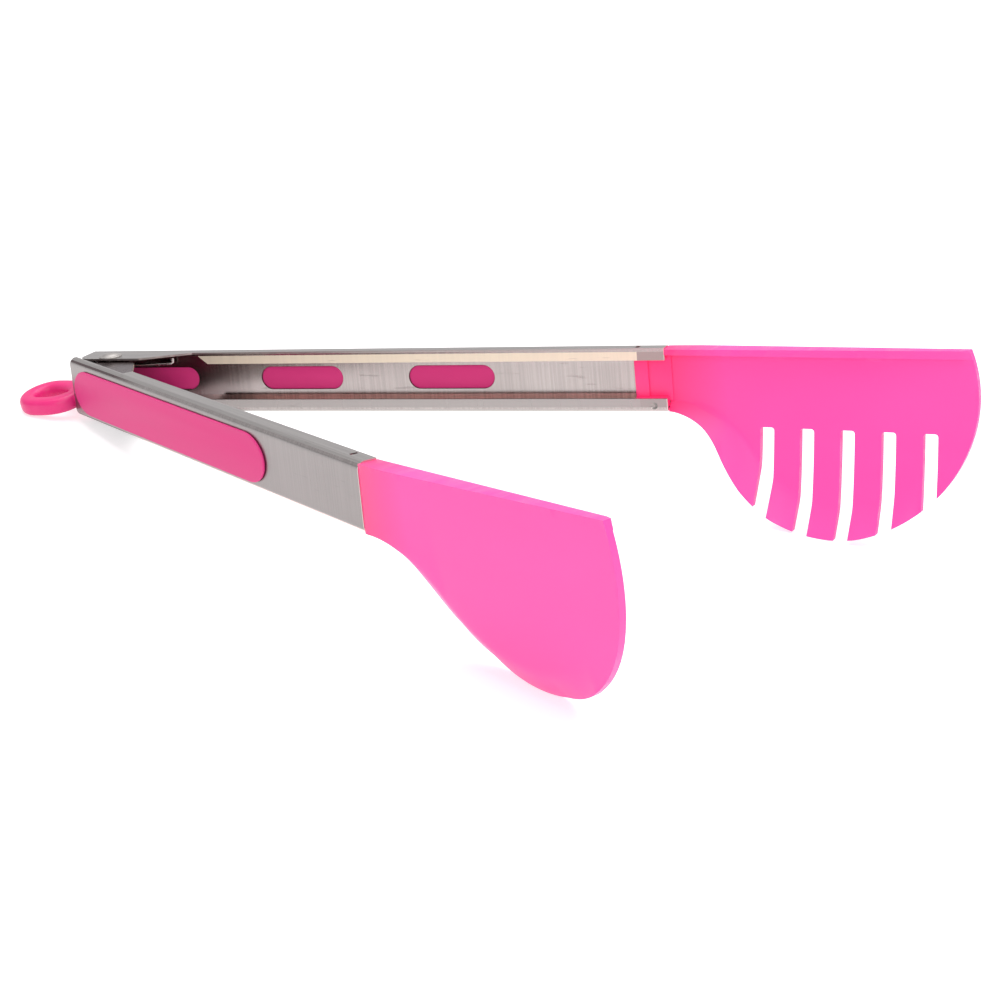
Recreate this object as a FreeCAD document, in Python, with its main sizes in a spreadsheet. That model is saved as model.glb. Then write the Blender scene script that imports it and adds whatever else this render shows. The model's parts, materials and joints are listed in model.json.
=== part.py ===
import FreeCAD, Part
import math
import os
import Sketcher

# Spring loaded kitchen tongs: two pressed channel arms on one rivet, soft grips,
# a slotted and a solid turner head, and a pull ring slide at the hinge end.
# Arm frame: X from the hinge end towards the head, Y across the opening, Z up.

os.makedirs("parts", exist_ok=True)
doc = FreeCAD.newDocument("tongs")
V = FreeCAD.Vector

DIMENSIONS = [
    # arms
    ("channel_width", 20.5), ("sheet", 0.8), ("flange_depth", 6.1), ("steel_length", 208.4),
    ("bend", 2.4), ("lip_height", 4.0), ("lip_start", 46.0), ("lip_slant", 5.0),
    ("pivot_from_end", 11.2), ("pivot_from_web", 10.8), ("arm_angle", 18.62),
    ("ear_depth", 13.9), ("ear_flat", 24.0), ("ear_end", 40.6), ("ear_corner", 4.0),
    ("ear_gap", 0.3), ("joggle_at", 2.8), ("joggle_end", 42.0),
    # windows and grips
    ("window_first", 8.5), ("window_length", 30.6), ("window_pitch", 54.7),
    ("window_height", 8.0), ("window_count", 3), ("boss_gap", 0.15),
    ("pad_start", 3.0), ("pad_end", 150.3), ("pad_low", 2.2), ("pad_high", 17.6),
    ("pad_round", 10.8), ("pad_tip", 5.0), ("pad_thick", 0.8), ("boss_reach", 1.1),
    ("tab_length", 8.4), ("tab_slit", 1.3),
    # heads
    ("head_angle", 8.0), ("head_top", 20.4), ("head_proud", 0.6), ("wall", 2.2),
    ("blade_centre", 57.4), ("blade_height", 6.6), ("blade_radius", 43.2), ("neck_low", -0.4),
    ("blade_bow", 0.0031), ("bow_full", 30.0), ("neck_step", 0.9),
    ("fold_low", 2.4), ("fold_radius", 34.8), ("rim_neck", 2.6), ("rim_bend", 5.4),
    ("rim_side", 11.0), ("rim_full", 13.3), ("rim_gone", 82.0),
    ("top_neck", 7.0), ("top_tip", 3.2), ("top_rise", 0.4),
    ("slot_first", 31.0), ("slot_pitch", 13.15), ("slot_width", 4.6), ("slot_corner", 0.9),
    ("slot_top", -4.7), ("slot_count", 5), ("tang_length", 11.0), ("tang_gap", 0.1),
    ("tang_floor", 3.0),
    # pivot
    ("rivet_radius", 2.0), ("rivet_head", 3.9), ("rivet_dome", 1.3), ("running", 0.06),
    ("sleeve_radius", 3.2), ("coil_radius", 4.3), ("wire_radius", 0.6), ("coil_pitch", 1.5),
    ("coil_low", 11.0), ("leg_angle", 12.8), ("leg_length", 20.6), ("foot_height", 1.8),
    # lock slide and ring
    ("slide_level", 5.0), ("slide_sheet", 1.0), ("slide_yaw", 8.1), ("slide_travel", 8.0),
    ("slide_half", 5.2), ("slide_neck", 3.2), ("slide_head_half", 8.4), ("slide_head", 4.5),
    ("ring_start", 15.6), ("ring_end", 40.8), ("ring_half", 10.2), ("ring_corner", 6.5),
    ("ring_hole_half", 4.1), ("ring_hole_start", 20.8), ("ring_hole_end", 34.4),
    ("ring_thick", 5.8), ("ring_round", 2.2), ("ring_level", 5.5), ("stem_start", 9.5),
    ("ring_yaw", 3.0), ("ring_droop", 1.8), ("ring_roll", 11.0),
    # resting pose
    ("rest_tilt", 7.75),
]

sheet = doc.addObject("Spreadsheet::Sheet", "dims")
for row, (alias, value) in enumerate(DIMENSIONS, 1):
    sheet.set(f"A{row}", alias)
    sheet.set(f"B{row}", str(value))
    sheet.setAlias(f"B{row}", alias)
doc.recompute()


class Size:
    """A length with its spreadsheet formula, so that a value and its expression agree."""

    def __init__(self, value, text):
        self.value, self.text = float(value), text

    def join(self, other, sign, work):
        if not isinstance(other, Size):
            other = Size(other, repr(float(other)))
        return Size(work(self.value, other.value), f"({self.text} {sign} {other.text})")

    def __add__(self, other):
        return self.join(other, "+", lambda a, b: a + b)

    def __sub__(self, other):
        return self.join(other, "-", lambda a, b: a - b)

    def __mul__(self, other):
        return self.join(other, "*", lambda a, b: a * b)

    def __truediv__(self, other):
        return self.join(other, "/", lambda a, b: a / b)

    def __neg__(self):
        return self * -1


def size(alias):
    return Size(sheet.get(alias), f"dims.{alias}")


def number(alias):
    return float(sheet.get(alias))


def plain(value):
    return value if isinstance(value, Size) else Size(value, repr(float(value)))


def body(label):
    made = doc.addObject("PartDesign::Body", label)
    made.Label = label
    return made


def plane(owner, role):
    return next(f for f in owner.Origin.OriginFeatures if f.Role == role)


def sketch(owner, name, role, path, offset=0):
    """Closed outline. Each entry is (x, y) or (x, y, r): the edge that leaves the point bends
    with radius r, to the left of its travel when r is positive and to the right when negative."""
    made = owner.newObject("Sketcher::SketchObject", name)
    made.AttachmentSupport = [(plane(owner, role), "")]
    made.MapMode = "FlatFace"
    made.AttachmentOffset = FreeCAD.Placement(V(0, 0, plain(offset).value), FreeCAD.Rotation())
    if isinstance(offset, Size):
        made.setExpression(".AttachmentOffset.Base.z", offset.text)
    points = [V(plain(p[0]).value, plain(p[1]).value, 0) for p in path]
    count = len(path)
    for i, entry in enumerate(path):
        start, end = points[i], points[(i + 1) % count]
        if len(entry) == 2:
            made.addGeometry(Part.LineSegment(start, end), False)
            continue
        radius = plain(entry[2])
        half = (end - start).Length / 2
        reach = abs(radius.value)
        side = V(-(end - start).y, (end - start).x, 0).normalize()
        side = side if radius.value > 0 else side * -1
        centre = (start + end) * 0.5 + side * math.sqrt(max(reach * reach - half * half, 0))
        made.addGeometry(Part.Arc(start, centre - side * reach, end), False)
    def end_at(i, point):
        return 1 if (made.getPoint(i, 1) - point).Length < 1e-6 else 2

    def hold(axis, i, pos, value):
        made.addConstraint(Sketcher.Constraint(axis, -1, 1, i, pos, plain(value).value))
        if isinstance(value, Size):
            made.setExpression(f"Constraints[{made.ConstraintCount - 1}]", value.text)

    for i, entry in enumerate(path):
        after = (i + 1) % count
        first = end_at(i, points[i])
        hold("DistanceX", i, first, entry[0])
        hold("DistanceY", i, first, entry[1])
        link = Sketcher.Constraint("Coincident", i, 3 - first, after, end_at(after, points[after]))
        made.addConstraint(link)
        if len(entry) == 3:
            radius = plain(entry[2])
            chord = points[after] - points[i]
            if abs(chord.Length - 2 * abs(radius.value)) > 1e-6:
                made.addConstraint(Sketcher.Constraint("Radius", i, abs(radius.value)))
                made.setExpression(f"Constraints[{made.ConstraintCount - 1}]", f"abs({radius.text})")
            elif abs(chord.x) < 1e-9:
                hold("DistanceX", i, 3, entry[0])
            else:
                hold("DistanceY", i, 3, entry[1])
    return made


def pad(owner, name, profile, length, both=False, back=False, kind="Pad"):
    made = owner.newObject(f"PartDesign::{kind}", name)
    made.Profile = profile
    made.Length = plain(length).value
    if isinstance(length, Size):
        made.setExpression("Length", length.text)
    made.Midplane = both
    made.Reversed = back
    return made


def cut(owner, name, profile, length, both=True, back=False):
    return pad(owner, name, profile, length, both, back, "Pocket")


W, T = size("channel_width"), size("sheet")
D, LIP = size("flange_depth"), size("lip_height")
L, BEND = size("steel_length"), size("bend")


# Channel arm: one pressed sheet with a web, two flanges and two return lips.
def channel(label, side, inner_ears):
    arm = body(label)
    inner = BEND - T

    def across(value):
        return plain(value) * side

    # cross-section of web and flanges, open towards the other arm
    turn = side
    section = [
        (across(D), 0), (across(BEND), 0, BEND * -turn), (0, BEND), (0, W - BEND, BEND * -turn),
        (across(BEND), W), (across(D), W), (across(D), W - T), (across(BEND), W - T, inner * turn),
        (across(T), W - BEND), (across(T), BEND, inner * turn), (across(BEND), T), (across(D), T),
    ]
    pad(arm, "web", sketch(arm, "section", "YZ_Plane", section), L)
    # return lips, each slanted where it starts
    low, lip = size("lip_start"), size("lip_slant")
    for name, base, top in (("low_lip", 0, LIP), ("high_lip", W, W - LIP)):
        outline = [(low - lip, base), (L, base), (L, top), (low, top)]
        face = sketch(arm, name + "_line", "XZ_Plane", outline, across(D) * -1)
        pad(arm, name, face, T, back=side < 0)
    # hinge ears at both flanges
    ear, flat, end = size("ear_depth"), size("ear_flat"), size("ear_end")
    corner = size("ear_corner")
    start = size("joggle_at") - T if inner_ears else BEND
    outline = [(0, across(start)), (end, across(start)), (end, across(D - 0.05)),
               (flat, across(ear)), (corner, across(ear), corner * side), (0, across(ear - corner))]
    if inner_ears:
        step = size("joggle_end")
        outline[1] = (step, across(start))
        outline[2] = (step, across(D))
        outline.insert(3, (end, across(D)))
        clear = [(-1, across(size("joggle_at"))), (step - T, across(size("joggle_at"))),
                 (step - T, across(D + 1)), (-1, across(D + 1))]
        cut(arm, "joggle_relief", sketch(arm, "relief_line", "XY_Plane", clear), W * 3)
    depth = T + size("ear_gap") if inner_ears else plain(0)
    for name, level in (("low_ear", depth), ("high_ear", W - depth - T)):
        pad(arm, name, sketch(arm, name + "_line", "XY_Plane", outline, level), T)
    if inner_ears:
        wall = [(0, across(start)), (step, across(start)), (step, across(D)),
                (step - T, across(D)), (step - T, across(start + T)), (0, across(start + T))]
        for name, level in (("low_joggle", plain(0)), ("high_joggle", W - depth - T)):
            pad(arm, name, sketch(arm, name + "_line", "XY_Plane", wall, level), depth + T)
    # oval windows through the web
    high, first = size("window_height"), size("window_first")
    half = high / 2
    middle = W / 2
    oval = [(first + half, middle - half), (first + size("window_length") - half, middle - half, half),
            (first + size("window_length") - half, middle + half), (first + half, middle + half, half)]
    window = cut(arm, "window", sketch(arm, "window_line", "XZ_Plane", oval), BEND * 2)
    row = arm.newObject("PartDesign::LinearPattern", "windows")
    row.Originals = [window]
    row.Direction = (plane(arm, "X_Axis"), [""])
    row.Length = (size("window_pitch") * 2).value
    row.setExpression("Length", (size("window_pitch") * (size("window_count") - 1)).text)
    row.Occurrences = int(number("window_count"))
    arm.Tip = row
    # slit that frees the end tab of each lip, which is folded onto the head's tang
    slit, wide = L - size("tab_length"), size("tab_slit")
    for name, base, top in (("low_slit", -1, LIP + 0.5), ("high_slit", W - LIP - 0.5, W + 1)):
        gap = [(slit - wide, base), (slit, base), (slit, top), (slit - wide, top)]
        face = sketch(arm, name + "_line", "XZ_Plane", gap, across(D - T - 0.05) * -1)
        cut(arm, name, face, T * 3, both=False, back=side > 0)
    # rivet hole in the ears
    spin = size("rivet_radius") + size("running")
    at = (size("pivot_from_end"), across(size("pivot_from_web")))
    round_hole = [(at[0] - spin, at[1], spin), (at[0] + spin, at[1], spin)]
    cut(arm, "rivet_hole", sketch(arm, "rivet_line", "XY_Plane", round_hole), W * 3)
    return arm




def shift(x=0.0, y=0.0, z=0.0):
    return FreeCAD.Placement(V(x, y, z), FreeCAD.Rotation())


def turn_about(axis, degrees):
    return FreeCAD.Placement(V(), FreeCAD.Rotation(axis, degrees))


def near(edges, test):
    return [f"Edge{i}" for i, e in enumerate(edges, 1) if test(e)]


# Soft grip: a long pad on the outside of the web, with one boss through each window.
def grip(label, side):
    made = body(label)
    low, high = size("pad_low"), size("pad_high")
    start, end, run = size("pad_start"), size("pad_end"), size("pad_round")
    middle = (low + high) / 2
    rise = (number("pad_high") - number("pad_low")) / 2
    bow = (number("pad_round") ** 2 + rise ** 2) / (2 * rise)
    outline = [(start + run, low), (end - run, low, bow), (end, middle, bow), (end - run, high),
               (start + run, high, bow), (start, middle, bow)]
    face = sketch(made, "pad_line", "XZ_Plane", outline)
    skin = pad(made, "skin", face, size("pad_thick"), back=side < 0)
    half, first = size("window_height") / 2 - size("boss_gap"), size("window_first")
    left = first + size("window_height") / 2
    right = first + size("window_length") - size("window_height") / 2
    oval = [(left, W / 2 - half), (right, W / 2 - half, half), (right, W / 2 + half),
            (left, W / 2 + half, half)]
    boss = pad(made, "boss", sketch(made, "boss_line", "XZ_Plane", oval), size("boss_reach"),
               back=side > 0)
    row = made.newObject("PartDesign::LinearPattern", "bosses")
    row.Originals = [boss]
    row.Direction = (plane(made, "X_Axis"), [""])
    row.setExpression("Length", (size("window_pitch") * (size("window_count") - 1)).text)
    row.Occurrences = int(number("window_count"))
    made.Tip = row
    doc.recompute()
    tips = near(row.Shape.Edges, lambda e: len(e.Vertexes) == 2 and abs(
        e.Vertexes[0].X - e.Vertexes[1].X) < 1e-6 and abs(e.Vertexes[0].Z - e.Vertexes[1].Z) < 1e-6
        and min(abs(e.Vertexes[0].X - number("pad_start")),
                abs(e.Vertexes[0].X - number("pad_end"))) < 1e-3)
    nose = made.newObject("PartDesign::Fillet", "tips")
    nose.Base = (row, tips)
    nose.Radius = number("pad_tip")
    nose.setExpression("Radius", "dims.pad_tip")
    made.Tip = nose
    doc.recompute()
    face_y = -side * number("pad_thick")
    rims = near(nose.Shape.Edges, lambda e: all(abs(v.Y - face_y) < 1e-6 for v in e.Vertexes))
    soft = made.newObject("PartDesign::Fillet", "soft_edge")
    soft.Base = (nose, rims)
    soft.Radius = number("pad_thick") * 0.6
    soft.setExpression("Radius", "dims.pad_thick * 0.6")
    made.Tip = soft
    return made


# Turner head: a thin blade that curves inwards towards its lower edge, with a top wall,
# a raised rim round the neck side, and a tang that slides into the steel channel.
def head(label, side, slotted):
    made = body(label)
    beta = math.radians(number("head_angle"))
    wall, crown = number("wall"), number("head_top")
    centre, height = number("blade_centre"), number("blade_height")

    def neck_arc(low, radius):
        rise = height - low
        return (centre ** 2 + rise ** 2 - radius ** 2) / (2 * (radius - rise))

    def join(low, radius):
        arc = neck_arc(low, radius)
        return centre * arc / math.hypot(centre, height - low + arc)

    def below(p, low, radius):
        """Height of the S-shaped line that leaves the neck at low and runs round the blade."""
        arc, reach = neck_arc(low, radius), radius ** 2 - (p - centre) ** 2
        if p < join(low, radius):
            return low - arc + math.sqrt(arc ** 2 - max(p, 0.0) ** 2)
        return height - math.sqrt(max(reach, 0.0))

    low, radius = number("neck_low"), number("blade_radius")
    fold_low, fold_radius = number("fold_low"), number("fold_radius")
    rim = [(0.0, "rim_neck"), (13.0, "rim_bend"), (26.0, "rim_side"), (36.0, "rim_full"),
           (64.0, "rim_full")]

    def depth(p, z, fold):
        """How far the outer skin lies behind the arm's plane."""
        bow = number("blade_bow") * min(1.0, max(p, 0.0) / number("bow_full"))
        skin = bow * (crown - z) ** 2 + number("neck_step") * max(0.0, 1 - max(p, 0.0) / 14) ** 2
        edge = below(p, low, radius)
        if z >= fold or p > number("rim_gone"):
            return skin
        at_edge = bow * (crown - edge) ** 2
        lift = number("rim_full") - at_edge
        for (x0, first), (x1, last) in zip(rim, rim[1:]):
            if p <= x1:
                part = (max(p, x0) - x0) / (x1 - x0)
                lift = number(first) + (number(last) - number(first)) * part - at_edge
                break
        if p > 64:
            lift *= (number("rim_gone") - p) / (number("rim_gone") - 64)
        return skin + lift * (fold - z) / (fold - edge)

    stations = (-1, 5, 10, 15, 19, 23, 27, 32, 38, 46, 56, 66, 76, 84, 92, 104)
    sections = []
    for p in stations:
        fold = below(p, fold_low, fold_radius) if p < 92 else 5.0
        floor = below(p, low, radius) - 1 if p < 100 else -2.0
        outer_fold = fold - 0.6 - 1.7 * max(0.0, 1 - p / 25)
        halfway = (crown + fold) / 2
        outer = [(depth(p, z, outer_fold), z) for z in (crown + 1, halfway, outer_fold, floor)]
        inner = [(depth(p, z, fold) + wall, z) for z in (floor, fold, halfway, crown + 1)]
        shape = [(h * side, z) for h, z in outer + inner]
        sections.append(sketch(made, f"section_{p + 1}", "YZ_Plane", shape, p))
    blade = made.newObject("PartDesign::AdditiveLoft", "blade")
    blade.Profile = sections[0]
    blade.Sections = sections[1:]
    blade.Ruled = True
    # top wall
    step = number("neck_step")
    crest = [(-1, (step + 0.4) * side), (14, 0.4 * side), (104, 0.4 * side),
             (104, size("top_tip") * side), (-1, size("top_neck") * side)]
    level = size("head_top") - size("wall")
    pad(made, "top_wall", sketch(made, "crest_line", "XY_Plane", crest, level), wall + 1)
    # outline of the blade, seen square on
    arc, turn_at = neck_arc(low, radius), join(low, radius)
    lean = math.hypot(centre, height - low + arc)
    turn_z = low - arc + (height - low + arc) * arc / lean
    tip_top = crown + number("top_rise")
    tip = centre + math.sqrt(radius ** 2 - (tip_top - height) ** 2)
    outside = [(-12, low), (0, low, -arc), (turn_at, turn_z, radius),
               (size("blade_centre"), height - radius, size("blade_radius")), (tip, tip_top),
               (130, tip_top), (130, -70), (-12, -70)]
    cut(made, "outline", sketch(made, "outline_line", "XZ_Plane", outside), 80)
    above = [(-12, crown - number("top_rise")), (tip, tip_top), (130, tip_top), (130, 40),
             (-12, 40)]
    cut(made, "top_edge", sketch(made, "top_line", "XZ_Plane", above), 80)
    # the joint face stands square to the arm
    lean = math.tan(beta)
    wedge = [(0, -5 * side), (0, 0), (30 * lean, 30 * side), (-9, 30 * side), (-9, -5 * side)]
    cut(made, "joint_face", sketch(made, "joint_line", "XY_Plane", wedge), 200)
    # tang: a floor between the lips and a rail under each lip
    gap = number("tang_gap")
    near_web = number("sheet") + gap + number("head_proud")
    under_lip = number("flange_depth") - number("sheet") - gap + number("head_proud")
    sole = number("tang_floor") + number("head_proud")
    long = number("tang_length")

    def leaned(x, v):
        return (x * math.cos(beta) + v * math.sin(beta),
                side * (-x * math.sin(beta) + v * math.cos(beta)))

    side_gap = number("sheet") + gap
    rail = number("lip_height") + 0.2
    relief = number("bend") + gap
    wide = number("channel_width")
    off_web = relief + number("head_proud")
    bars = (("tang_floor_pad", relief, wide - relief, near_web, sole, 3.0),
            ("tang_low_rail", side_gap, rail, off_web, under_lip, 0.0),
            ("tang_high_rail", wide - rail, wide - side_gap, off_web, under_lip, 0.0))
    for name, z0, z1, back, reach, ramp in bars:
        step = min(1.2, reach - back - 0.2)
        shape = [leaned(-long, back), leaned(2.0, back), leaned(2.0, reach),
                 leaned(-long + 0.8 + ramp, reach), leaned(-long, reach - step)]
        face = sketch(made, name + "_line", "XY_Plane", shape, z0)
        pad(made, name, face, z1 - z0)
    if slotted:
        x0, wide = size("slot_first"), size("slot_width")
        z0, r = size("slot_top"), size("slot_corner")
        line = [(x0, -60), (x0 + wide, -60), (x0 + wide, z0 - r, r), (x0 + wide - r, z0),
                (x0 + r, z0, r), (x0, z0 - r)]
        slot = cut(made, "slot", sketch(made, "slot_line", "XZ_Plane", line), 80)
        row = made.newObject("PartDesign::LinearPattern", "slots")
        row.Originals = [slot]
        row.Direction = (plane(made, "X_Axis"), [""])
        row.setExpression("Length", (size("slot_pitch") * (size("slot_count") - 1)).text)
        row.Occurrences = int(number("slot_count"))
        made.Tip = row
    return made


# Rivet with two low domes.
def rivet(label):
    made = body(label)
    r, head_r, dome = size("rivet_radius"), size("rivet_head"), size("rivet_dome")
    edge = dome * 0.4
    bow = (number("rivet_head") ** 2 + (number("rivet_dome") * 0.6) ** 2) / (
        2 * number("rivet_dome") * 0.6)
    profile = [(0, W + dome), (0, -dome, -bow * -1), (head_r, -edge), (head_r, 0), (r, 0),
               (r, W), (head_r, W), (head_r, W + edge, bow)]
    spun = made.newObject("PartDesign::Revolution", "turned")
    spun.Profile = sketch(made, "profile", "XZ_Plane", profile)
    spun.ReferenceAxis = (plane(made, "Z_Axis"), [""])
    spun.Angle = 360
    return made


# Sleeve between the inner ears: it carries the spring coil and the slide.
def sleeve(label):
    made = body(label)
    inner, outer = size("rivet_radius") + size("running"), size("sleeve_radius")
    base = T * 2 + size("ear_gap") + 0.2
    ring = [(-outer, 0, outer), (outer, 0, outer)]
    pad(made, "barrel", sketch(made, "barrel_line", "XY_Plane", ring, base), W - base * 2)
    hole = [(-inner, 0, inner), (inner, 0, inner)]
    cut(made, "bore", sketch(made, "bore_line", "XY_Plane", hole), W * 3)
    return made


# Torsion spring: a coil on the sleeve and two legs that press the webs apart.
def spring(label):
    angle = number("arm_angle") + number("leg_angle")
    turns = 4 - (90 + angle) * 2 / 360
    pitch, wire, r = number("coil_pitch"), number("wire_radius"), number("coil_radius")
    low = number("coil_low")
    rise = pitch * turns
    coil_path = Part.makeHelix(pitch, rise, r, 0, True)
    coil_path.Placement = shift(0, 0, low) * turn_about(V(0, 0, 1), -(90 + angle))
    start = coil_path.Edges[0].valueAt(coil_path.Edges[0].FirstParameter)
    ring = Part.Wire(Part.makeCircle(wire, start, coil_path.Edges[0].tangentAt(
        coil_path.Edges[0].FirstParameter)))
    pieces = [Part.Wire(coil_path.Edges).makePipeShell([ring], True, True)]
    for sign, level in ((-1, low), (1, low + rise)):
        out = V(math.cos(math.radians(angle)), sign * math.sin(math.radians(angle)), 0)
        foot_at = V(r * -math.sin(math.radians(angle)), sign * r * math.cos(
            math.radians(angle)), level)
        leg = Part.makeCylinder(wire, number("leg_length"), foot_at, out)
        end = foot_at + out * number("leg_length")
        foot = Part.makeCylinder(wire, number("foot_height"), end, V(0, 0, sign))
        pieces += [leg, foot, Part.makeSphere(wire, end), Part.makeSphere(wire, foot_at),
                   Part.makeSphere(wire, end + V(0, 0, sign * number("foot_height")))]
    made = doc.addObject("Part::Feature", label)
    made.Label = label
    made.Shape = pieces[0].multiFuse(pieces[1:])
    return made


# Lock slide: a flat strip whose slot rides on the sleeve, with a wide inner end.
def slider(label):
    made = body(label)
    half, neck = size("slide_half"), size("slide_neck")
    slot = size("sleeve_radius") + 0.2
    travel, wide = size("slide_travel"), size("slide_head_half")
    inner = travel + slot + 1.6
    reach = math.sqrt(number("slide_half") ** 2 - number("slide_neck") ** 2)
    tail = -size("ring_hole_start") + 2.0
    line = [(tail, -neck), (-reach, -neck, half), (0, -half), (inner, -half), (inner, -wide),
            (inner + size("slide_head"), -wide), (inner + size("slide_head"), wide),
            (inner, wide), (inner, half), (0, half, half), (-reach, neck), (tail, neck)]
    level = size("slide_level")
    pad(made, "strip", sketch(made, "strip_line", "XY_Plane", line, level), size("slide_sheet"))
    opening = [(0, -slot), (travel, -slot, slot), (travel, slot), (0, slot, slot)]
    cut(made, "slot", sketch(made, "slot_line", "XY_Plane", opening, level), 20)
    return made


# Pull ring: a soft loop moulded over the slide's outer end.
def ring(label):
    core = body("ring_loop")
    half, neck = size("ring_half"), size("slide_neck") + 0.2
    start, end = size("ring_start"), size("ring_end")
    thick = size("ring_thick")
    corner = size("ring_corner")
    loop = [(-end + half, -half), (-(start + corner), -half, corner), (-start, corner - half),
            (-start, half - corner, corner), (-(start + corner), half), (-end + half, half, half)]
    pad(core, "loop", sketch(core, "loop_line", "XY_Plane", loop), thick, both=True)
    grip_r = size("ring_hole_half")
    a, b = size("ring_hole_start"), size("ring_hole_end")
    hole = [(-b + grip_r, -grip_r), (-a - grip_r, -grip_r, grip_r), (-a - grip_r, grip_r),
            (-b + grip_r, grip_r, grip_r)]
    holed = cut(core, "finger_hole", sketch(core, "hole_line", "XY_Plane", hole), 40)
    doc.recompute()
    level = number("ring_thick") / 2
    rims = near(holed.Shape.Edges, lambda e: all(
        abs(abs(v.Z) - level) < 1e-6 for v in e.Vertexes))
    soft = core.newObject("PartDesign::Fillet", "soft_edge")
    soft.Base = (holed, rims)
    soft.Radius = number("ring_round")
    soft.setExpression("Radius", "dims.ring_round")
    stem = [(-(start + 4), -neck), (-size("stem_start"), -neck), (-size("stem_start"), neck),
            (-(start + 4), neck)]
    pad(core, "stem", sketch(core, "stem_line", "XY_Plane", stem), thick * 0.7, both=True)
    strip = doc.addObject("Part::Box", "strip_space")
    for prop, value in (("Length", size("ring_hole_start") - 2.0), ("Width", size("slide_neck") * 2),
                        ("Height", size("slide_sheet"))):
        strip.setExpression(prop, value.text)
    made = doc.addObject("Part::Cut", label)
    made.Label = label
    made.Base = core
    made.Tool = strip
    return made, strip


UP, OUT = V(0, 0, 1), V(1, 0, 0)
pivot_x, pivot_y, fan = number("pivot_from_end"), number("pivot_from_web"), number("arm_angle")
frames = {
    side: turn_about(UP, -side * fan) * shift(-pivot_x, -side * pivot_y) for side in (-1, 1)
}
nodes = {}
for side, name, other in ((-1, "rear", "slotted"), (1, "front", "spatula")):
    nodes["arm_channel_" + name] = (channel("arm_channel_" + name, side, side > 0), frames[side])
    nodes["grip_pad_" + name] = (grip("grip_pad_" + name, side), frames[side])
    seat = shift(number("steel_length"), -side * number("head_proud"))
    nodes["head_" + other] = (head("head_" + other, side, side < 0),
                              frames[side] * seat * turn_about(UP, side * number("head_angle")))
nodes["pivot_rivet"] = (rivet("pivot_rivet"), shift())
nodes["spring_sleeve"] = (sleeve("spring_sleeve"), shift())
nodes["torsion_spring"] = (spring("torsion_spring"), shift())
yaw = turn_about(UP, number("slide_yaw"))
nodes["lock_slider"] = (slider("lock_slider"), yaw)
loop, strip_space = ring("pull_ring")
slack = (shift(-10.0, 0, number("ring_level")) * turn_about(UP, number("ring_yaw"))
         * turn_about(V(0, 1, 0), -number("ring_droop")) * turn_about(OUT, number("ring_roll"))
         * shift(10.0, 0, 0))
strip_space.Placement = slack.inverse() * shift(
    2.0 - number("ring_hole_start"), -number("slide_neck"), number("slide_level"))
nodes["pull_ring"] = (loop, yaw * slack)
doc.recompute()

# resting pose: the tongs lie on both heads and the ring, then the base is centred on the origin
rest = turn_about(V(0, 1, 0), -number("rest_tilt"))
for made, place in nodes.values():
    made.Placement = rest * place
doc.recompute()
box = FreeCAD.BoundBox()
for made, place in nodes.values():
    box.add(made.Shape.optimalBoundingBox(False))
middle = shift(-box.Center.x, -box.Center.y, -box.ZMin)
for label, (made, place) in nodes.items():
    made.Placement = middle * made.Placement
    doc.recompute()
    faults = [s for s in made.State if s in ("Invalid", "Error")]
    if faults or made.Shape.isNull() or not made.Shape.isValid() or not made.Shape.Solids:
        raise RuntimeError(f"{label} did not build: {made.State}")
    made.Shape.exportStep(f"parts/{label}.step")
pivot = middle * rest
print("pivot", pivot.multVec(V()), pivot.Rotation.multVec(UP))
print("slide", pivot.Rotation.multVec(yaw.Rotation.multVec(V(-1, 0, 0))))
print("box", box)
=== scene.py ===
import json
import math

import bmesh
import bpy
from mathutils import Matrix, Vector


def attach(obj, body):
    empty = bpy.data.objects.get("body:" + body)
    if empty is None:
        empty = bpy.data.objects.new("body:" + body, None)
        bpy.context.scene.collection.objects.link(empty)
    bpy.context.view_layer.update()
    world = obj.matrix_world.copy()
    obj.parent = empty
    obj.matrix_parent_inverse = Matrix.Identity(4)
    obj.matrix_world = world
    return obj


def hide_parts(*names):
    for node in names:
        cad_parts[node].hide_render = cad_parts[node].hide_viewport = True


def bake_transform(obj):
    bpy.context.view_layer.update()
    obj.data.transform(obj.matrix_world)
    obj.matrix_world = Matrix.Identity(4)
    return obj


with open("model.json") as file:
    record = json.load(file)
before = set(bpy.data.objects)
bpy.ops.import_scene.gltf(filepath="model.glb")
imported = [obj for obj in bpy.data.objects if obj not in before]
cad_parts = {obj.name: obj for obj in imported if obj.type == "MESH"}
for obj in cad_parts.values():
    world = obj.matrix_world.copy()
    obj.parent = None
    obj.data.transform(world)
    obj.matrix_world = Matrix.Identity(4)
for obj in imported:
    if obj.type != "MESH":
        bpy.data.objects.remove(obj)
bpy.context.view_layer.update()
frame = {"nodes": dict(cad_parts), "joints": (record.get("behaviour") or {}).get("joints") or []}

# Camera: a long lens a little above the table, in front of the solid head.
bpy.ops.object.select_all(action="DESELECT")
scene = bpy.context.scene
scene.view_settings.view_transform = "Standard"
right = Vector((0.777653, 0.628540, 0.013903))
up = Vector((-0.234547, 0.269531, 0.933992))
back = Vector((0.583304, -0.729583, 0.357024))
turn = Matrix((right, up, back)).transposed().to_4x4()
camera = bpy.data.objects.new("camera", bpy.data.cameras.new("camera"))
camera.data.lens = 79.803
camera.data.sensor_width = 36.0
camera.data.clip_end = 100.0
camera.matrix_world = Matrix.Translation((0.439007, -0.486012, 0.252669)) @ turn
scene.collection.objects.link(camera)
scene.camera = camera


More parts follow.
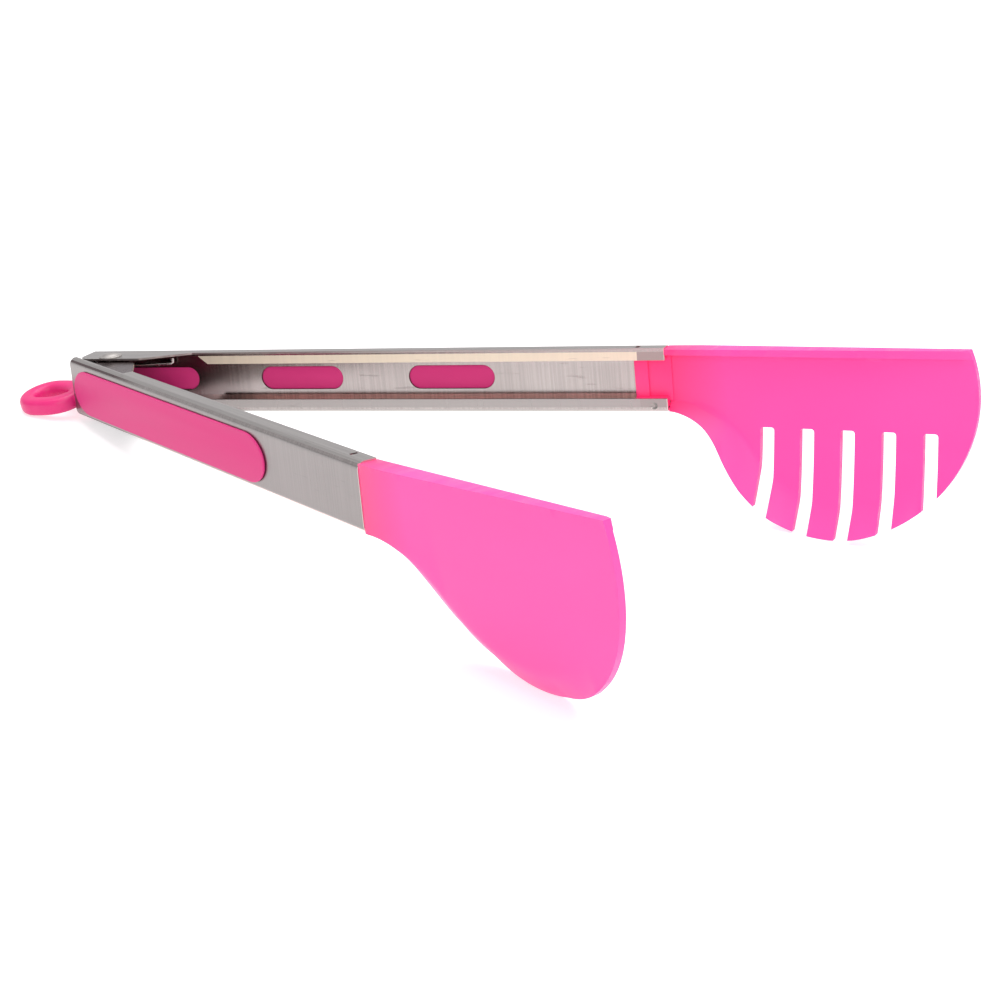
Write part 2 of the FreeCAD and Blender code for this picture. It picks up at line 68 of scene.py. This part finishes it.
# Studio: a sheet of white paper on a glowing light table, under a large soft light, with a
# weaker one beside the camera.
class Value:
    """An output of a material's nodes. Arithmetic on it adds Math nodes."""

    def __init__(self, finish, socket):
        self.finish, self.socket = finish, socket

    def math(self, operation, first, second):
        return self.finish.node("ShaderNodeMath", {"operation": operation}, {0: first, 1: second})

    def __add__(self, other):
        return self.math("ADD", self, other)

    def __sub__(self, other):
        return self.math("SUBTRACT", self, other)

    def __rsub__(self, other):
        return self.math("SUBTRACT", other, self)

    def __mul__(self, other):
        return self.math("MULTIPLY", self, other)

    def __gt__(self, other):
        return self.math("GREATER_THAN", self, other)

    def __lt__(self, other):
        return self.math("LESS_THAN", self, other)

    __radd__ = __add__
    __rmul__ = __mul__


class Finish:
    """A material: a Principled shader and the nodes that feed it."""

    def __init__(self, name, **sockets):
        self.material = bpy.data.materials.new(name)
        self.material.use_nodes = True
        self.tree = self.material.node_tree
        self.shader = self.tree.nodes["Principled BSDF"]
        self.feed(**sockets)

    def feed(self, **sockets):
        for name, value in sockets.items():
            socket = name.replace("_", " ").title().replace("Ior", "IOR")
            self.plug(self.shader.inputs[socket], value)

    def plug(self, socket, value):
        if isinstance(value, Value):
            self.tree.links.new(value.socket, socket)
        else:
            socket.default_value = value

    def node(self, kind, settings, inputs, output=0):
        made = self.tree.nodes.new(kind)
        for name, value in settings.items():
            if name == "stops":
                ramp = made.color_ramp.elements
                while len(ramp) < len(value):
                    ramp.new(0.5)
                for stop, (at, shade) in zip(ramp, value):
                    stop.position, stop.color = at, (shade, shade, shade, 1)
            else:
                setattr(made, name, value)
        for name, value in inputs.items():
            self.plug(made.inputs[name], value)
        return Value(self, made.outputs[output])

    def place(self, space=None, stretch=(1, 1, 1)):
        """Object coordinates, read in the axes of space and divided by stretch."""
        at = self.node("ShaderNodeTexCoord", {}, {}, "Object")
        origin, spin = (0, 0, 0), (0, 0, 0)
        if space:
            origin, spin = space.to_translation(), space.to_3x3().normalized().to_euler()
        return self.node("ShaderNodeMapping", {"vector_type": "TEXTURE"},
                         {"Vector": at, "Location": origin, "Rotation": spin, "Scale": stretch})

    def axis(self, at, name):
        return self.node("ShaderNodeSeparateXYZ", {}, {"Vector": at}, name)

    def noise(self, at, scale=1.0, detail=3.0):
        return self.node("ShaderNodeTexNoise", {},
                         {"Vector": at, "Scale": scale, "Detail": detail})

    def ramp(self, share, *stops):
        """Grey steps (place, brightness) between which share is blended."""
        return self.node("ShaderNodeValToRGB", {"stops": stops}, {"Fac": share})

    def mix(self, share, first, second):
        return self.node("ShaderNodeMix", {"data_type": "RGBA"},
                         {0: share, 6: first, 7: second}, 2)

    def bump(self, height, distance, strength=1.0):
        self.feed(normal=self.node("ShaderNodeBump", {}, {
            "Height": height, "Distance": distance, "Strength": strength}))

    def on(self, thing):
        thing.data.materials.clear()
        thing.data.materials.append(self.material)


bpy.ops.mesh.primitive_plane_add(size=40.0)
floor = bpy.context.object
floor.name = "floor"
paper = Finish("white_paper", roughness=0.9)
fibre = paper.noise(paper.place(), 900.0)
paper.feed(base_color=paper.mix(fibre, (0.54, 0.54, 0.54, 1), (0.58, 0.58, 0.58, 1)),
           emission_color=(1.0, 0.99, 1.0, 1), emission_strength=0.62)
paper.on(floor)

world = bpy.data.worlds.new("studio")
world.use_nodes = True
studio = world.node_tree.nodes["Background"].inputs
studio["Color"].default_value = (0.98, 0.97, 1.0, 1)
studio["Strength"].default_value = 0.62
scene.world = world


def softbox(name, at, size, power, colour):
    lamp = bpy.data.lights.new(name, "AREA")
    lamp.shape = "RECTANGLE"
    lamp.size, lamp.size_y = size
    lamp.energy, lamp.color = power, colour
    holder = bpy.data.objects.new(name, lamp)
    holder.location = at
    holder.rotation_euler = (-Vector(at)).to_track_quat("-Z", "Y").to_euler()
    scene.collection.objects.link(holder)


softbox("top_light", (0.1, 0.3, 1.7), (2.6, 2.0), 46, (1.0, 0.99, 0.98))
softbox("front_light", (1.0, -1.3, 0.8), (1.2, 0.8), 9, (1.0, 0.98, 0.96))


# Channel arms: 0.8 mm stainless sheet, pressed into a channel with return lips. The webs are
# brushed across and the flanges lengthwise, and the lips show hardly any brushing.
# In an arm's own axes X runs from the hinge end, Y inwards from the web, and Z upwards.
MM = 0.001
FAN = 18.62
PIVOT_FROM_END, PIVOT_FROM_WEB = 11.2, 10.8
CHANNEL_HEIGHT, STEEL_END = 20.5, 208.4
FLANGE_SKIN = 0.6
LIP_DEPTH, LIP_REACH = 5.6, 1.2
TAB_START = 199.4
hinge = next(j for j in frame["joints"] if j["name"] == "arm_hinge")
lift = Vector((0, 0, 1)).rotation_difference(Vector(hinge["axis"])).to_matrix().to_4x4()
tongs = Matrix.Translation(hinge["pos_m"]) @ lift
REAR, FRONT = -1, 1
arms = {}
for side in (REAR, FRONT):
    fan = Matrix.Rotation(math.radians(-side * FAN), 4, "Z")
    arms[side] = tongs @ fan @ Matrix.Translation(
        (-PIVOT_FROM_END * MM, -side * PIVOT_FROM_WEB * MM, 0))

for side, name in ((REAR, "arm_channel_rear"), (FRONT, "arm_channel_front")):
    steel = Finish("brushed_steel_" + name[12:], metallic=1.0)
    at = steel.place(arms[side])
    along, height = steel.axis(at, "X"), steel.axis(at, "Z")
    inward = steel.axis(at, "Y") * side
    outside = inward < 0.3 * MM
    flange = (height > (CHANNEL_HEIGHT - FLANGE_SKIN) * MM) + (height < FLANGE_SKIN * MM)
    lip = ((inward > LIP_DEPTH * MM) * (height > LIP_REACH * MM)
           * (height < (CHANNEL_HEIGHT - LIP_REACH) * MM))
    # Mask of the inside of the lower bend, which is given a painted reflection.
    lower_bend_painted_reflection = ((height > FLANGE_SKIN * MM) * (height < 4.5 * MM)
                  * (inward < 5.3 * MM) * (inward > 0.3 * MM))
    upper = height > 10.0 * MM
    tab = along > TAB_START * MM
    across = steel.noise(steel.place(arms[side], (0.0007, 0.004, 0.05)), 1.0, 5.0)
    lengthwise = steel.noise(steel.place(arms[side], (0.06, 0.0007, 0.0007)), 1.0, 4.0)
    grain = across * (1 - flange) + lengthwise * flange
    cloud = steel.noise(steel.place(arms[side], (0.02, 0.01, 0.01)), 1.0, 3.0)
    rub = steel.noise(steel.place(arms[side], (0.012, 0.003, 0.0012)), 1.0, 5.0)
    scratches = steel.ramp(rub, (0.64, 0.0), (0.70, 1.0))
    inner_web = steel.mix(cloud, (0.41, 0.37, 0.355, 1), (0.50, 0.455, 0.44, 1))
    outer_web = steel.mix(cloud, (0.255, 0.235, 0.23, 1), (0.295, 0.27, 0.265, 1))
    # Painted reflection: the upper lip is painted pale cream, standing in for the bright floor
    # mirrored in it. The lower lip is painted dim grey as its shaded copy. Past the tab start
    # both are painted darker, the upper one grey pink.
    lower_lip_painted_shade = steel.mix(tab, (0.36, 0.335, 0.325, 1), (0.33, 0.30, 0.29, 1))
    upper_lip_painted_reflection = steel.mix(tab, (0.80, 0.715, 0.58, 1), (0.42, 0.35, 0.335, 1))
    lips_painted_reflection = steel.mix(upper, lower_lip_painted_shade, upper_lip_painted_reflection)
    tone = steel.mix(outside, inner_web, outer_web)
    tone = steel.mix(flange, tone, (0.50, 0.475, 0.455, 1))
    # Painted reflection: the inside of the lower bend is painted pale pink, standing in for a
    # bright pink reflection mirrored in it.
    tone = steel.mix(lower_bend_painted_reflection, tone, (0.92, 0.70, 0.66, 1))
    tone = steel.mix(lip, tone, lips_painted_reflection)
    # Painted shade: within about 5 cm of the hinge end, the inner web and lower flange are
    # painted nearly black red. This stands in for the shade under the ears, with a dim pink
    # reflection in it.
    hinge_painted_shade = steel.ramp(along * 10.0, (0.38, 1.0), (0.62, 0.0)) * (1 - outside) * (1 - lip)
    tone = steel.mix(hinge_painted_shade * 0.88 * (1 - flange * upper), tone, (0.085, 0.035, 0.04, 1))
    tone = steel.mix(scratches * 0.25, tone, (0.22, 0.20, 0.195, 1))
    streaks = steel.ramp(grain, (0.42, 1.0), (0.62, 0.0))
    tone = steel.mix(streaks * 0.22 * (1 - 0.8 * lip), tone, (0.16, 0.15, 0.145, 1))
    # The last quarter millimetre, the sheared end, is painted pale. This is partly the bare cut
    # metal and partly a painted highlight on the cut edge.
    cut_end_painted_highlight = along > (STEEL_END - 0.25) * MM
    steel.feed(base_color=steel.mix(cut_end_painted_highlight, tone, (0.60, 0.58, 0.55, 1)),
               roughness=0.12 + 0.16 * grain + 0.06 * scratches + 0.26 * lip * upper
               + 0.1 * lip + 0.12 * flange + 0.1 * outside + 0.2 * lower_bend_painted_reflection)
    dimple = steel.node("ShaderNodeVectorMath", {"operation": "DISTANCE"},
                        {0: at, 1: (203.9 * MM, side * 6.1 * MM, 1.7 * MM)}, "Value")
    staked = steel.ramp(dimple * 800.0, (0.35, 0.0), (0.95, 1.0))
    steel.bump(grain * 0.03 + staked, 0.0005, 1.0)
    steel.on(frame["nodes"][name])


# Grips: soft silicone pads on the outside of each web, with three bosses that show
# through the oval windows.
PAD_START, PAD_END, PAD_MIDDLE = 3.0, 150.3, 9.9
PAD_NOSE, PAD_HALF, PAD_THICK = 11.5, 7.7, 0.8
WINDOW_FIRST, WINDOW_LENGTH, WINDOW_PITCH, WINDOW_MIDDLE = 8.65, 30.3, 54.7, 10.25
BOSS_HALF, BOSS_REACH = 3.85, 0.5


def long_oval(nose, half, start, end, count=18):
    """Closed outline from start to end whose ends are half ellipses."""
    points = []
    for centre, first in ((end - nose, -90), (start + nose, 90)):
        for step in range(count + 1):
            angle = math.radians(first + 180 * step / count)
            points.append((centre + nose * math.cos(angle), half * math.sin(angle)))
    return points


def soften(piece, width, angle=40, segments=3):
    rounded = piece.modifiers.new("edge", "BEVEL")
    rounded.width = width
    rounded.segments = segments
    rounded.limit_method = "ANGLE"
    rounded.angle_limit = math.radians(angle)
    bpy.context.view_layer.objects.active = piece
    bpy.ops.object.modifier_apply(modifier=rounded.name)


def slab(name, outline, height, low, high, bevel):
    """A flat piece with this outline in (u, z), from v = low to v = high, in millimetres."""
    bpy.ops.mesh.primitive_circle_add(vertices=len(outline), fill_type="NGON")
    piece = bpy.context.object
    piece.name = name
    for point, (u, z) in zip(piece.data.vertices, outline):
        point.co = (u, low, z + height)
    bpy.ops.object.mode_set(mode="EDIT")
    bpy.ops.mesh.select_all(action="SELECT")
    bpy.ops.mesh.extrude_region_move(TRANSFORM_OT_translate={"value": (0, high - low, 0)})
    bpy.ops.mesh.select_all(action="SELECT")
    bpy.ops.mesh.normals_make_consistent(inside=False)
    bpy.ops.object.mode_set(mode="OBJECT")
    soften(piece, bevel)
    return piece


def join(name, pieces):
    """The pieces as one object, under this name."""
    bpy.ops.object.select_all(action="DESELECT")
    for piece in pieces:
        piece.select_set(True)
    bpy.context.view_layer.objects.active = pieces[0]
    if len(pieces) > 1:
        bpy.ops.object.join()
    whole = bpy.context.object
    whole.name = whole.data.name = name
    return whole


def settle(piece, space, side, body, node, finish, smooth=35):
    """Moves a piece made in an arm's millimetres to its place, and hands it to its body."""
    piece.data.transform(space @ Matrix.Diagonal((MM, side * MM, MM, 1)))
    if side < 0:
        piece.data.flip_normals()
    bpy.ops.object.select_all(action="DESELECT")
    piece.select_set(True)
    bpy.context.view_layer.objects.active = piece
    bpy.ops.object.shade_smooth_by_angle(angle=math.radians(smooth))
    finish.on(piece)
    if body:
        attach(piece, body)
    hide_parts(node)
    bpy.ops.object.select_all(action="DESELECT")


for side, name in ((REAR, "rear"), (FRONT, "front")):
    silicone = Finish("grip_silicone_" + name, specular_ior_level=0.3)
    pores = silicone.noise(silicone.place(), 2600.0, 2.0)
    dust = silicone.noise(silicone.place(arms[side], (0.03, 0.004, 0.006)), 1.0, 4.0)
    silicone.feed(base_color=silicone.mix(dust, (0.59, 0.022, 0.17, 1), (0.66, 0.036, 0.20, 1)),
                  roughness=0.44 + 0.14 * dust)
    silicone.bump(pores, 0.00003, 0.35)
    outline = long_oval(PAD_NOSE, PAD_HALF, PAD_START, PAD_END)
    parts = [slab("skin", outline, PAD_MIDDLE, -PAD_THICK, 0.0, 0.38)]
    for window in range(3):
        start = WINDOW_FIRST + WINDOW_PITCH * window
        outline = long_oval(BOSS_HALF, BOSS_HALF, start, start + WINDOW_LENGTH)
        parts.append(slab("boss", outline, WINDOW_MIDDLE, 0.0, BOSS_REACH, 0.2))
    grip = join("grip_" + name, parts)
    settle(grip, arms[side], side, name + "_arm", "grip_pad_" + name, silicone)


# Turner heads: one nylon moulding each. A thin blade curves inwards to its lower edge, with
# a wall along the top, a rim round the neck side and a tang that fits inside the channel.
# In a head's own axes X runs out from the joint, Y inwards, and Z upwards.
CENTRE, HEIGHT, RADIUS = 57.4, 6.6, 43.2
FOLD_LOW, FOLD_RADIUS = 2.4, 34.8
CROWN, WALL, NECK = 20.4, 2.2, -0.4
BOW, NECK_STEP = 0.0031, 0.9
SLOTS, SLOT_TOP, SLOT_CORNER = 5, -4.7, 0.9
SLOT_FIRST, SLOT_PITCH, SLOT_WIDTH = 31.0, 13.15, 4.6
LAST_SLOT = SLOT_FIRST + (SLOTS - 1) * SLOT_PITCH + SLOT_WIDTH
BLADE_END = 99.1
HEAD_TURN, HEAD_PROUD = 8.0, 0.6
ABOVE_SLOTS, BESIDE_SLOTS = 14, 20


def below(p, low, radius):
    """Height of the S-shaped line that leaves the neck at low and runs round the blade."""
    rise = HEIGHT - low
    arc = (CENTRE ** 2 + rise ** 2 - radius ** 2) / (2 * (radius - rise))
    if p < CENTRE * arc / math.hypot(CENTRE, rise + arc):
        return low - arc + math.sqrt(arc ** 2 - max(p, 0.0) ** 2)
    return HEIGHT - math.sqrt(max(radius ** 2 - (p - CENTRE) ** 2, 0.0))


def between(value, *stops):
    """Straight lines through the stops (place, result), level past the ends."""
    for (x0, y0), (x1, y1) in zip(stops, stops[1:]):
        if value <= x1:
            return y0 + (y1 - y0) * max(0.0, value - x0) / (x1 - x0)
    return stops[-1][1]


def depth(p, z, inside):
    """How far a skin of the blade lies behind the arm's outer face."""
    bow = BOW * between(p, (0, 0), (12, 0.35), (30, 1))
    skin = bow * (CROWN - z) ** 2 + NECK_STEP * max(0.0, 1 - max(p, 0.0) / 14) ** 2
    fold = below(p, FOLD_LOW, FOLD_RADIUS) if p < 92 else 2.9
    edge = below(min(p, 100.0), NECK, RADIUS)
    crease = 0.06
    if not inside:
        fold -= 0.6 + 1.7 * max(0.0, 1 - p / 25)
        crease = 0.14
    full = between(p, (0, 2.6), (13, 5.4), (26, 11.0), (36, 13.3), (64, 13.3))
    rim = (full - bow * (CROWN - edge) ** 2) * between(p, (0, 1), (64, 1), (72, 0.5), (82, 0))
    if rim > 0:
        part = (fold - z) / (fold - edge)
        skin += rim * (part + math.sqrt(part * part + crease * crease) - crease * 0.5) / 2
    return skin + (WALL if inside else 0.0)


def crest(p):
    """How deep the wall along the top stands."""
    return between(p, (0, 7.0), (96, 3.2), (BLADE_END, 2.4))


def spread(start, end, step):
    """Even places from start up to but not including end."""
    count = max(1, round((end - start) / step))
    return [start + (end - start) * n / count for n in range(count)]


def blade_column(p):
    """Points (out, height) down one line of the blade, from the crown to its lower edge."""
    top = CROWN - 0.4 + 0.8 * p / BLADE_END
    middle = SLOT_TOP + 11.4 * max(0.0, 1 - p / SLOT_FIRST) ** 2
    rows = [top, CROWN - WALL, CROWN - WALL - 0.25]
    rows += [rows[-1] + (middle - rows[-1]) * n / ABOVE_SLOTS
             for n in range(1, ABOVE_SLOTS + 1)]
    rows += [middle + (below(p, NECK, RADIUS) - middle) * n / BESIDE_SLOTS
             for n in range(1, BESIDE_SLOTS + 1)]
    points = []
    for z in rows:
        out = p
        if p > LAST_SLOT and z >= SLOT_TOP - 0.001:
            far = CENTRE + math.sqrt(RADIUS ** 2 - (z - HEIGHT) ** 2)
            out = LAST_SLOT + (p - LAST_SLOT) * (far - LAST_SLOT) / (BLADE_END - LAST_SLOT)
        points.append((out, z))
    return points


def blade(name, slotted):
    """The blade of a head: an outer and an inner skin, joined round every open edge."""
    slots = [(SLOT_FIRST + SLOT_PITCH * n, SLOT_FIRST + SLOT_PITCH * n + SLOT_WIDTH)
             for n in range(SLOTS)]
    marks = [0.0] + [edge for slot in slots for edge in slot] + [BLADE_END]
    columns = [p for a, b in zip(marks, marks[1:]) for p in spread(a, b, 1.25)] + [BLADE_END]
    grid = [blade_column(p) for p in columns]
    made = bmesh.new()
    skins = []
    for inside in (False, True):
        skin = []
        for points in grid:
            line = []
            for row, (p, z) in enumerate(points):
                h = depth(p, z, inside)
                if inside and row < 2:
                    h = max(h, crest(p))
                square = h * math.tan(math.radians(HEAD_TURN)) * max(0.0, 1 - p / 5)
                line.append(made.verts.new((p + square, h, z)))
            skin.append(line)
        skins.append(skin)
    outer, inner = skins
    kept = {}
    for i in range(len(columns) - 1):
        centre = (columns[i] + columns[i + 1]) / 2
        hollow = slotted and any(a < centre < b for a, b in slots)
        for j in range(len(grid[0]) - 1):
            if not (hollow and j >= ABOVE_SLOTS + 2):
                kept[i, j] = True
    # each neighbour of a cell, with the two corners of the edge between them
    sides = (((-1, 0), ((0, 0), (0, 1))), ((1, 0), ((1, 1), (1, 0))),
             ((0, -1), ((1, 0), (0, 0))), ((0, 1), ((0, 1), (1, 1))))
    for i, j in kept:
        for skin, order in ((outer, 1), (inner, -1)):
            made.faces.new([skin[i][j], skin[i][j + 1], skin[i + 1][j + 1],
                            skin[i + 1][j]][::order])
        for (di, dj), (a, b) in sides:
            if (i + di, j + dj) not in kept:
                near = [outer[i + x][j + y] for x, y in (a, b)]
                far = [inner[i + x][j + y] for x, y in (b, a)]
                made.faces.new(near + far)
    bmesh.ops.remove_doubles(made, verts=made.verts, dist=0.0005)
    bmesh.ops.recalc_face_normals(made, faces=made.faces)
    if slotted:
        corners = [edge for edge in made.edges
                   if all(abs(v.co.z - SLOT_TOP) < 0.001 for v in edge.verts)
                   and abs(edge.verts[0].co.x - edge.verts[1].co.x) < 0.001
                   and any(abs(edge.verts[0].co.x - x) < 0.001 for slot in slots for x in slot)]
        bmesh.ops.bevel(made, geom=corners, offset=SLOT_CORNER, segments=3, affect="EDGES",
                        profile=0.5)
    loose = [v for v in made.verts if not v.link_faces]
    bmesh.ops.delete(made, geom=loose, context="VERTS")
    mesh = bpy.data.meshes.new(name)
    made.to_mesh(mesh)
    made.free()
    piece = bpy.data.objects.new(name, mesh)
    scene.collection.objects.link(piece)
    bpy.context.view_layer.objects.active = piece
    soften(piece, 0.45 if slotted else 0.75, angle=50, segments=4)
    return piece


def bar(name, low, high, bevel, ramp=0.0):
    """A bevelled block between two corners; ramp slopes its inner far end."""
    bpy.ops.mesh.primitive_cube_add(size=1.0)
    piece = bpy.context.object
    piece.name = name
    for point in piece.data.vertices:
        point.co = [a if c < 0 else b for c, a, b in zip(point.co, low, high)]
        if point.co.x == low[0] and point.co.y == high[1]:
            point.co.x += ramp
    soften(piece, bevel)
    return piece


for side, name, kind in ((REAR, "rear", "slotted"), (FRONT, "front", "spatula")):
    seat = (arms[side] @ Matrix.Translation((STEEL_END * MM, -side * HEAD_PROUD * MM, 0))
            @ Matrix.Rotation(math.radians(side * HEAD_TURN), 4, "Z"))
    nylon = Finish("pink_nylon_" + name, specular_ior_level=0.36)
    along = nylon.axis(nylon.place(seat), "X")
    thin = nylon.ramp(along * 25.0, (0.05, 0.0), (0.5, 1.0))
    flow = nylon.noise(nylon.place(seat, (0.05, 0.02, 0.02)), 1.0, 2.0)
    neck = nylon.mix(flow, (0.95, 0.040, 0.20, 1), (0.96, 0.050, 0.235, 1))
    face = nylon.mix(flow, (0.95, 0.062, 0.335, 1), (0.97, 0.075, 0.372, 1))
    nylon.feed(base_color=nylon.mix(thin, neck, face), roughness=0.34 + 0.1 * flow)
    nylon.bump(nylon.noise(nylon.place(), 1800.0, 2.0), 0.00002, 0.25)
    head = blade("blade", kind == "slotted")
    head.data.transform(Matrix.Translation((STEEL_END, -HEAD_PROUD, 0))
                        @ Matrix.Rotation(math.radians(HEAD_TURN), 4, "Z"))
    tang_end, rail_end = STEEL_END - 11.0, STEEL_END - 0.1
    tang = [bar("floor", (tang_end, 0.9, 2.6), (STEEL_END + 1.2, 3.0, 17.9), 0.3, 2.2),
            bar("lug", (tang_end, 2.6, 3.0), (tang_end + 4.6, 3.7, 17.5), 0.35),
            bar("low_rail", (tang_end, 2.6, 0.95), (rail_end, 5.1, 4.0), 0.3, 0.8),
            bar("high_rail", (tang_end, 2.6, 16.5), (rail_end, 5.1, 19.5), 0.3, 0.8)]
    head = join("head_" + kind + "_moulding", [head] + tang)
    settle(head, arms[side], side, name + "_arm", "head_" + kind, nylon, 30)


# Pull ring: a soft silicone loop moulded on the end of the lock slide. Its far end is a half
# circle and its hinge end is blunt, and it hangs a little out of line with the slide.
RING_MIDDLE, RING_HALF, RING_STRETCH = -30.6, 7.1, 4.9
BAND_HALF, BAND_THICK_HALF = 3.0, 2.9
SLIDE_TURN, SLIDE_END, SLIDE_LIFT = 8.1, 10.0, 5.5
HANG_SWING, HANG_DROP, HANG_TWIST = 3.0, -1.8, 11.0
slide_line = tongs @ Matrix.Rotation(math.radians(SLIDE_TURN), 4, "Z")
hang = (Matrix.Translation((-SLIDE_END * MM, 0, SLIDE_LIFT * MM))
        @ Matrix.Rotation(math.radians(HANG_SWING), 4, "Z")
        @ Matrix.Rotation(math.radians(HANG_DROP), 4, "Y")
        @ Matrix.Rotation(math.radians(HANG_TWIST), 4, "X")
        @ Matrix.Translation((SLIDE_END * MM, 0, 0)))


def squarish(angle, power):
    """Distance to a rounded square of half width 1 at this angle; a higher power is squarer."""
    return (abs(math.cos(angle)) ** power + abs(math.sin(angle)) ** power) ** (-1 / power)


bpy.ops.mesh.primitive_torus_add(major_segments=96, minor_segments=28, major_radius=4.0,
                                 minor_radius=1.0)
loop = bpy.context.object
for point in loop.data.vertices:
    around = math.atan2(point.co.y, point.co.x)
    section = math.atan2(point.co.z, math.hypot(point.co.x, point.co.y) - 4.0)
    full = squarish(section, 3)
    out = BAND_HALF * full * math.cos(section)
    reach, blunt = RING_HALF, 1.0
    if math.cos(around) > 0:
        blunt = squarish(around, 3.6)
        out *= blunt
        reach = RING_HALF + RING_STRETCH * math.cos(around) ** 2
    point.co = ((reach * blunt + out) * math.cos(around) + RING_MIDDLE,
                (RING_HALF * blunt + out) * math.sin(around),
                BAND_THICK_HALF * full * math.sin(section))
bpy.ops.object.mode_set(mode="EDIT")
bpy.ops.mesh.select_all(action="SELECT")
bpy.ops.mesh.normals_make_consistent(inside=False)
bpy.ops.object.mode_set(mode="OBJECT")
stem = bar("stem", (-20.0, -3.4, -2.0), (-9.6, 3.4, 2.0), 0.9)
ring = join("pull_ring_loop", [loop, stem])
rubber = Finish("ring_silicone", specular_ior_level=0.4)
bloom = rubber.noise(rubber.place(), 260.0, 3.0)
rubber.feed(base_color=rubber.mix(bloom, (0.62, 0.014, 0.145, 1), (0.68, 0.025, 0.18, 1)),
            roughness=0.3 + 0.12 * bloom)
rubber.bump(rubber.noise(rubber.place(), 2200.0, 2.0), 0.00002, 0.3)
settle(ring, slide_line @ hang, 1, "lock", "pull_ring", rubber, 60)


# Rivet: a steel pin through the four ears, closed to a low dome on a thin collar at each end.
bpy.ops.mesh.primitive_circle_add(vertices=3)
pin = bpy.context.object
dome = [(0.0, 1.3), (1.0, 1.25), (1.9, 1.06), (2.6, 0.76), (2.9, 0.55), (3.1, 0.47), (3.7, 0.43),
        (3.9, 0.3), (3.9, 0.0), (2.0, 0.0)]
profile = [(r, -h) for r, h in dome]
profile += [(r, CHANNEL_HEIGHT + h) for r, h in reversed(dome)]
made = bmesh.new()
line = [made.verts.new((r, 0, z)) for r, z in profile]
for a, b in zip(line, line[1:]):
    made.edges.new((a, b))
made.to_mesh(pin.data)
made.free()
bpy.ops.object.mode_set(mode="EDIT")
bpy.ops.mesh.select_all(action="SELECT")
bpy.ops.mesh.spin(steps=64, angle=math.tau, center=(0, 0, 0), axis=(0, 0, 1))
bpy.ops.mesh.select_all(action="SELECT")
bpy.ops.mesh.remove_doubles(threshold=0.001)
bpy.ops.mesh.normals_make_consistent(inside=False)
bpy.ops.object.mode_set(mode="OBJECT")
pin = join("hinge_rivet", [pin])
polished = Finish("rivet_steel", metallic=1.0)
turned = polished.noise(polished.place(), 700.0, 3.0)
polished.feed(base_color=polished.mix(turned, (0.36, 0.34, 0.33, 1), (0.46, 0.44, 0.42, 1)),
              roughness=0.46 + 0.16 * turned)
polished.bump(turned, 0.00003, 0.3)
settle(pin, tongs, 1, "rear_arm", "pivot_rivet", polished, 40)


# Spring: drawn steel wire, wound on the sleeve, with a long leg to each web and a short foot
# at the end of each leg. The legs follow the arms and the coil winds up between them.
COIL_LOW, COIL_PITCH, COIL_TURNS, COIL_RADIUS = 11.0, 1.5, 3.3254, 4.3
WIRE_RADIUS, LEG_LENGTH, LEG_SPLAY, FOOT_HEIGHT = 0.6, 20.6, 12.8, 1.8
splay = math.radians(FAN + LEG_SPLAY)
ends = []
for lean, level in ((-1, COIL_LOW), (1, COIL_LOW + COIL_PITCH * COIL_TURNS)):
    heel = Vector((-COIL_RADIUS * math.sin(splay), lean * COIL_RADIUS * math.cos(splay), level))
    tip = heel + Vector((math.cos(splay), lean * math.sin(splay), 0)) * LEG_LENGTH
    foot = [tip + Vector((0, 0, lean * FOOT_HEIGHT)), tip + Vector((0, 0, lean * 0.5)),
            tip.lerp(heel, 0.04)]
    ends.append(foot + [tip.lerp(heel, n / 8) for n in range(1, 9)])
coil = []
for step in range(1, 120):
    angle = -math.pi / 2 - splay - math.tau * COIL_TURNS * step / 120
    coil.append(Vector((COIL_RADIUS * math.cos(angle), COIL_RADIUS * math.sin(angle),
                        COIL_LOW + COIL_PITCH * COIL_TURNS * step / 120)))
wire_line = ends[0] + coil + ends[1][::-1]
curve = bpy.data.curves.new("wire", "CURVE")
curve.dimensions = "3D"
curve.bevel_depth, curve.bevel_resolution = WIRE_RADIUS, 4
curve.use_fill_caps = True
spline = curve.splines.new("POLY")
spline.points.add(len(wire_line) - 1)
for point, at in zip(spline.points, wire_line):
    point.co = (*at, 1)
wire = bpy.data.objects.new("spring_wire", curve)
scene.collection.objects.link(wire)
bpy.context.view_layer.objects.active = wire
bpy.ops.object.select_all(action="DESELECT")
wire.select_set(True)
bpy.ops.object.convert(target="MESH")
wire = bpy.context.object
drawn = Finish("drawn_wire", metallic=1.0)
die_marks = drawn.noise(drawn.place(), 1100.0, 3.0)
drawn.feed(base_color=drawn.mix(die_marks, (0.52, 0.50, 0.48, 1), (0.70, 0.67, 0.64, 1)),
           roughness=0.18 + 0.14 * die_marks)
drawn.bump(die_marks, 0.00002, 0.3)
settle(wire, tongs, 1, None, "torsion_spring", drawn, 60)
tongs @ Vector((0, 0.007, 0.01))
tongs @ Vector((0, -0.007, 0.01))
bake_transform(wire)


# Sleeve and lock slide between the ears: a black moulded sleeve, and a stamped steel strip
# whose slot rides on it.
for node, light, dark, rough, metal in (
        ("lock_slider", (0.20, 0.17, 0.165, 1), (0.13, 0.10, 0.10, 1), 0.3, 1.0),
        ("spring_sleeve", (0.03, 0.03, 0.033, 1), (0.02, 0.02, 0.022, 1), 0.45, 0.0)):
    inner = Finish(node + "_finish", metallic=metal)
    speck = inner.noise(inner.place(), 900.0, 3.0)
    inner.feed(base_color=inner.mix(speck, dark, light), roughness=rough + 0.12 * speck)
    inner.bump(speck, 0.00002, 0.3)
    inner.on(frame["nodes"][node])
